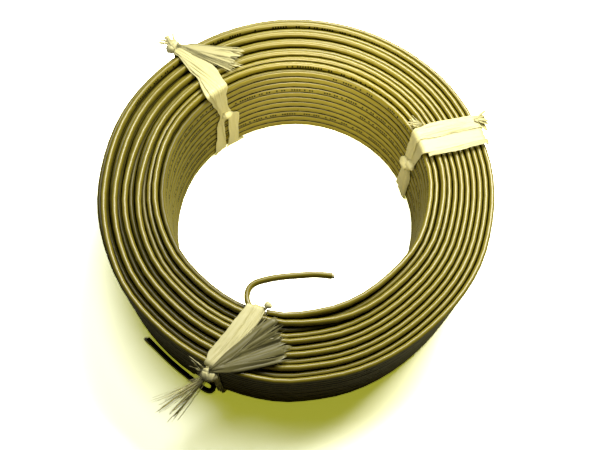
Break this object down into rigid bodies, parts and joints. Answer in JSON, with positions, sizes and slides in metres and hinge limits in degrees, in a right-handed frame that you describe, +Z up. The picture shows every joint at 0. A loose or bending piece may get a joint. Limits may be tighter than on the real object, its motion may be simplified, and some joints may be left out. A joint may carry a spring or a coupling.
{
  "type": "coil of flat two-core cable",
  "caption": "Flat two-core cable wound on edge into a ring-shaped roll, tied with raffia film, its two cut ends folded back.",
  "frame": {"origin": "on the floor, on the axis of the roll's eye", "axes": "+Z up along the axis of the eye; -Y towards the tie that holds the inner end"},
  "size_m": [0.2945, 0.3072, 0.0915],
  "materials": {
    "sheath": "glossy olive grey PVC",
    "insulation": "satin PVC",
    "copper": "cut bright copper",
    "raffia": "frayed polypropylene film"
  },
  "bodies": {
    "root": {"cable_coil": "sheath", "inner_end_sheath": "sheath", "inner_end_insulation_1": "insulation", "inner_end_insulation_2": "insulation", "inner_end_conductor_1": "copper", "inner_end_conductor_2": "copper", "outer_end_sheath": "sheath", "outer_end_insulation_1": "insulation", "outer_end_insulation_2": "insulation", "outer_end_conductor_1": "copper", "outer_end_conductor_2": "copper", "rear_tie": "raffia", "side_tie": "raffia", "front_tie": "raffia"}
  },
  "joints": []
}
